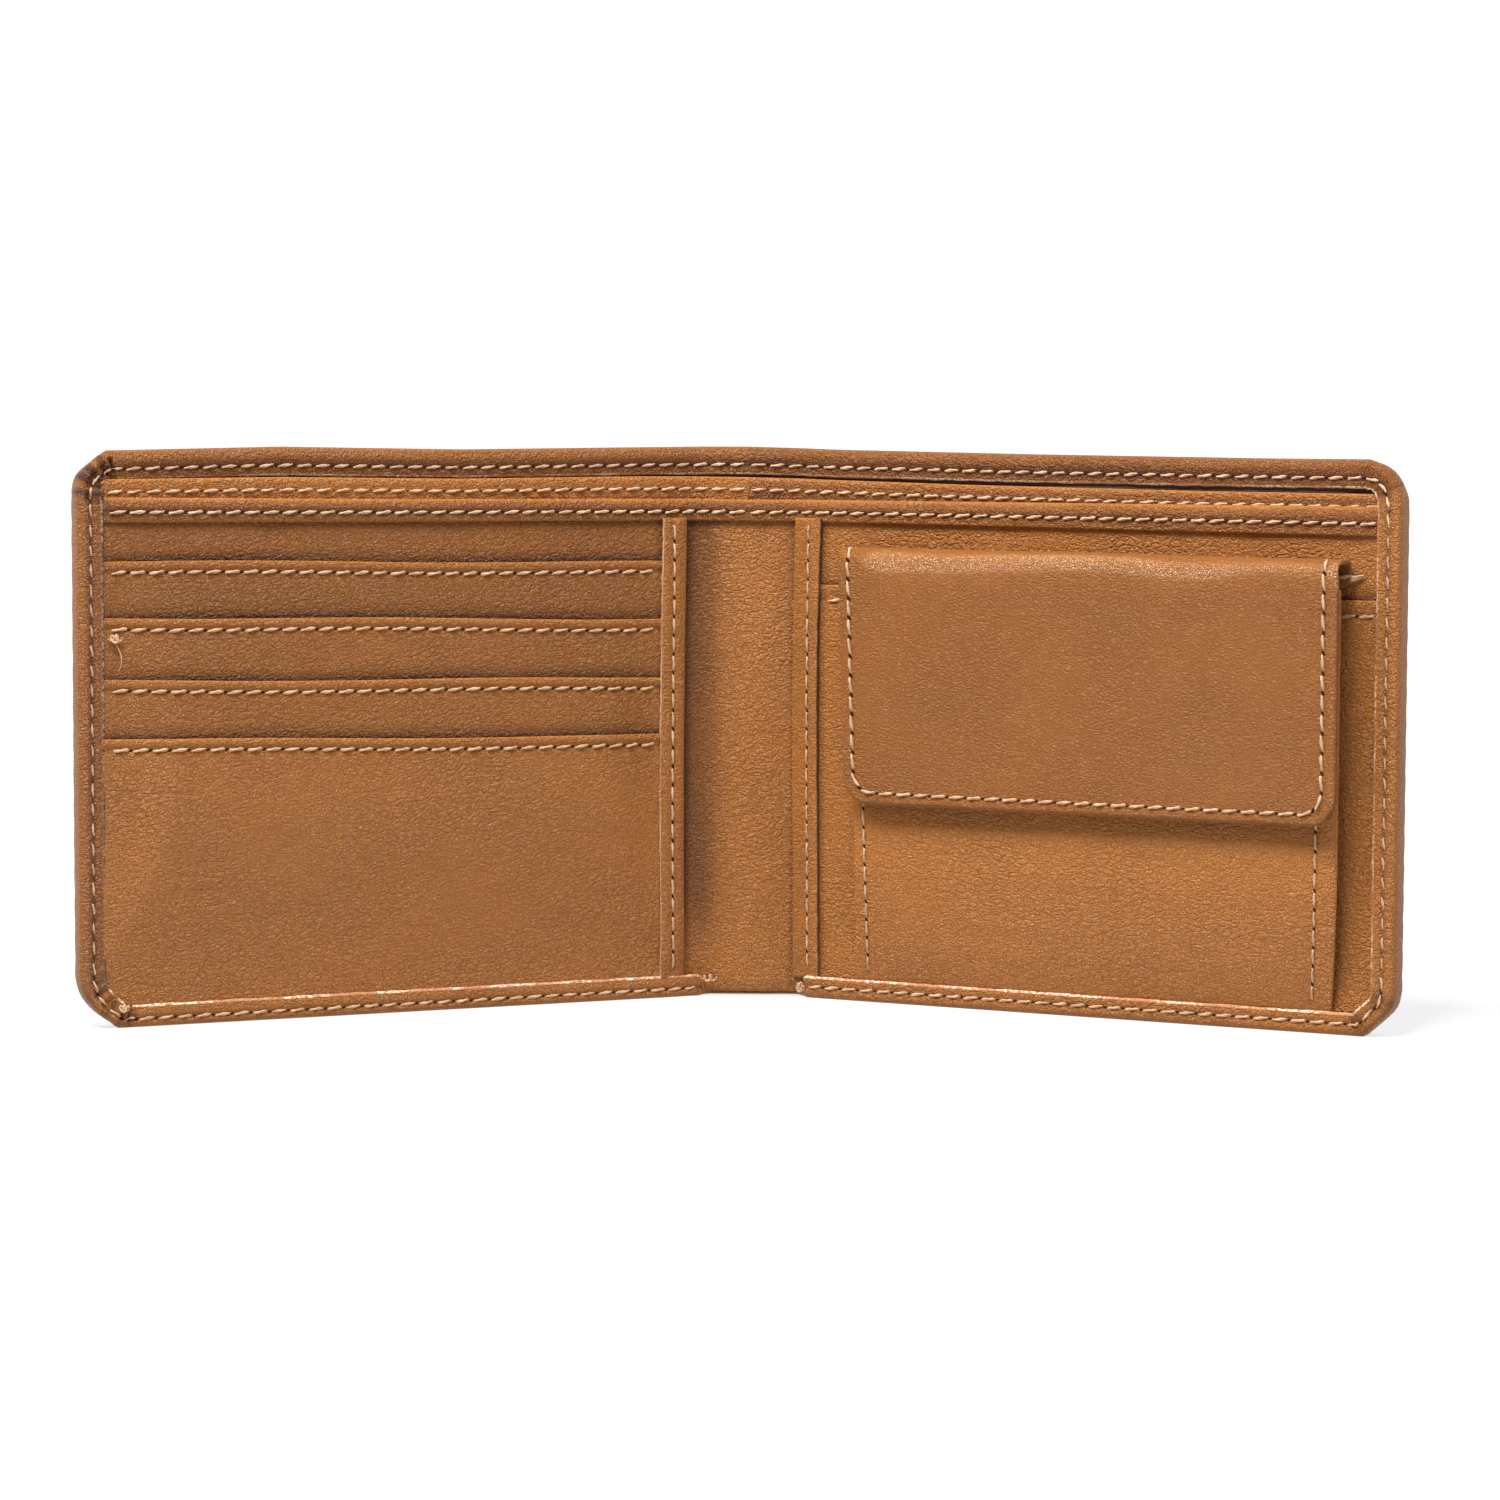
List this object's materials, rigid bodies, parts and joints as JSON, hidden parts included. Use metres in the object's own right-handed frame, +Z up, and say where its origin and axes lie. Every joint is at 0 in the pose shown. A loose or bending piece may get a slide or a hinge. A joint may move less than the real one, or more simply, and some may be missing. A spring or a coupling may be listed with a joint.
{
  "type": "bifold wallet",
  "caption": "Leather bifold wallet that folds at its spine, with stepped card pockets on one half and a flap coin pocket with a press stud on the other.",
  "frame": {"origin": "on the floor under the middle of the wallet's bounding box, in the half-open rest pose", "axes": "+X across the open wallet towards the coin pocket half, +Y towards the spine's outside, +Z up along the spine"},
  "size_m": [0.2064, 0.051, 0.09],
  "materials": {
    "cover_leather": "tan pebbled leather, semi-matt",
    "inner_leather": "tan pebbled leather, semi-matt",
    "lining_fabric": "brown woven lining",
    "thread": "beige twisted sewing thread",
    "stiffener_board": "grey-brown paperboard",
    "snap_metal": "antique brass"
  },
  "bodies": {
    "spine": {"cover_spine": "cover_leather", "cover_lining_spine": "lining_fabric", "bill_divider_spine": "inner_leather", "inner_panel_spine": "inner_leather", "top_band_spine": "inner_leather", "top_edge_threads_spine": "thread"},
    "left_half": {"cover_left": "cover_leather", "cover_lining_left": "lining_fabric", "bill_divider_left": "inner_leather", "inner_lining_left": "lining_fabric", "card_base_panel": "inner_leather", "top_band_left": "inner_leather", "card_pocket_1": "inner_leather", "card_pocket_2": "inner_leather", "card_pocket_3": "inner_leather", "card_pocket_4": "inner_leather", "card_pocket_lining_1": "lining_fabric", "card_pocket_lining_2": "lining_fabric", "card_pocket_lining_3": "lining_fabric", "card_panel_binding": "inner_leather", "top_edge_threads_left": "thread", "cover_edge_thread_left": "thread", "card_pocket_threads": "thread", "card_binding_thread": "thread"},
    "right_half": {"cover_right": "cover_leather", "cover_lining_right": "lining_fabric", "bill_divider_right": "inner_leather", "inner_lining_right": "lining_fabric", "coin_base_panel": "inner_leather", "top_band_right": "inner_leather", "slip_pocket": "inner_leather", "slip_pocket_lining": "lining_fabric", "coin_pocket_back": "inner_leather", "coin_pocket_front": "inner_leather", "coin_pocket_lining": "lining_fabric", "coin_gusset_inner": "inner_leather", "coin_gusset_outer": "inner_leather", "coin_panel_binding": "inner_leather", "flap_tail": "inner_leather", "snap_stud": "snap_metal", "snap_rivet": "snap_metal", "top_edge_threads_right": "thread", "cover_edge_thread_right": "thread", "coin_pocket_threads": "thread", "coin_binding_thread": "thread", "slip_pocket_thread": "thread", "flap_tail_thread": "thread"},
    "flap_bridge": {"flap_bridge_leather": "inner_leather", "flap_bridge_lining": "lining_fabric"},
    "flap": {"flap_leather": "inner_leather", "flap_stiffener": "stiffener_board", "flap_lining": "lining_fabric", "snap_socket": "snap_metal", "snap_cap": "snap_metal", "flap_thread": "thread"}
  },
  "joints": [
    {"name": "left_fold", "type": "hinge", "parent": "spine", "child": "left_half", "pos_m": [-0.0085, 0.02452, 0], "axis": [0, 0, -1], "range_deg": [-65, 25]},
    {"name": "right_fold", "type": "hinge", "parent": "spine", "child": "right_half", "pos_m": [0.0085, 0.02452, 0], "axis": [0, 0, 1], "range_deg": [-65, 25]},
    {"name": "flap_lift", "type": "hinge", "parent": "right_half", "child": "flap_bridge", "pos_m": [0.0567, -0.00226, 0.0742], "axis": [-0.9063, 0.4226, 0], "range_deg": [0, 90]},
    {"name": "flap_fold", "type": "hinge", "parent": "flap_bridge", "child": "flap", "pos_m": [0.05425, -0.00752, 0.0736], "axis": [-0.9063, 0.4226, 0], "range_deg": [0, 90]}
  ],
  "couplings": [
    {"joint": "flap_fold", "follows": "flap_lift", "ratio": 1}
  ]
}
